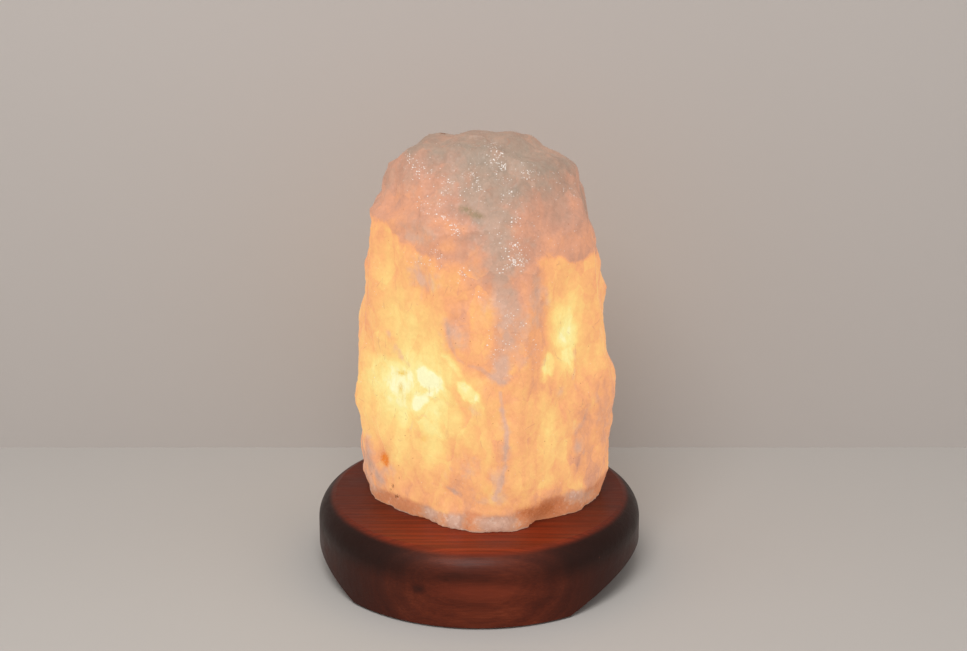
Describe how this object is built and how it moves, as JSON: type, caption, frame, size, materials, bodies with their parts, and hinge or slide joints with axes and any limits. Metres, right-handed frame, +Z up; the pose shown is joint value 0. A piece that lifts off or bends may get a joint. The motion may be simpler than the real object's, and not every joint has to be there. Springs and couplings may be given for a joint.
{
  "type": "stone table lamp",
  "caption": "Table lamp: a rough pink quartz column, drilled from below and glued on a round turned wooden base, lit from inside by a small screw bulb in a snap-in holder.",
  "frame": {"origin": "on the table, under the centre of the round base, at the underside of the felt pads", "axes": "+Z up; -Y towards the side seen in the picture; +X to that viewer's right; the cord hole leaves along +Y"},
  "size_m": [0.152, 0.152, 0.2091],
  "materials": {
    "stained_wood": "satin lacquer over a mahogany stain",
    "felt": "pressed black felt",
    "glue": "cloudy cured adhesive",
    "rose_quartz": "raw broken crystal faces, sparkling",
    "plated_steel": "zinc plated",
    "spring_steel": "bright spring steel",
    "ivory_plastic": "moulded",
    "black_phenolic": "moulded phenolic",
    "socket_brass": "pressed, slightly dull",
    "solder": "solder blob",
    "black_glass": "fused opaque glass",
    "bulb_brass": "bright rolled thread",
    "clear_glass": "clear",
    "nickel_wire": "drawn wire",
    "tungsten": "coiled wire"
  },
  "bodies": {
    "lamp": {"wood_base": "stained_wood", "felt_pads": "felt", "glue_ring": "glue", "quartz_stone": "rose_quartz"},
    "holder": {"clip_plate": "plated_steel", "spring_clips": "spring_steel", "clip_rivets": "plated_steel", "riser_tube": "ivory_plastic", "riser_screws": "plated_steel", "socket_core": "black_phenolic", "screw_shell": "socket_brass", "shell_rivet": "socket_brass", "side_terminal": "socket_brass", "centre_terminal": "socket_brass", "terminal_screws": "socket_brass", "plunger_guide": "socket_brass", "contact_spring": "spring_steel"},
    "plunger": {"contact_plunger": "socket_brass"},
    "bulb": {"bulb_contact": "solder", "bulb_insulator": "black_glass", "bulb_cap": "bulb_brass", "bulb_glass": "clear_glass", "bulb_stem": "clear_glass", "bulb_leads": "nickel_wire", "bulb_filament": "tungsten"}
  },
  "joints": [
    {"name": "holder_pull", "type": "slide", "parent": "lamp", "child": "holder", "axis": [0, 0, 1], "range_m": [-0.115, 0]},
    {"name": "plunger_rise", "type": "slide", "parent": "holder", "child": "plunger", "axis": [0, 0, 1], "range_m": [0, 0.00255], "deforming": ["contact_spring"]},
    {"name": "bulb_turn", "type": "hinge", "parent": "plunger", "child": "bulb", "pos_m": [0, 0, 0.05], "axis": [0, 0, 1], "range_deg": [0, 360]}
  ],
  "couplings": [
    {"joint": "plunger_rise", "follows": "bulb_turn", "m_per_rad": 0.000404}
  ]
}
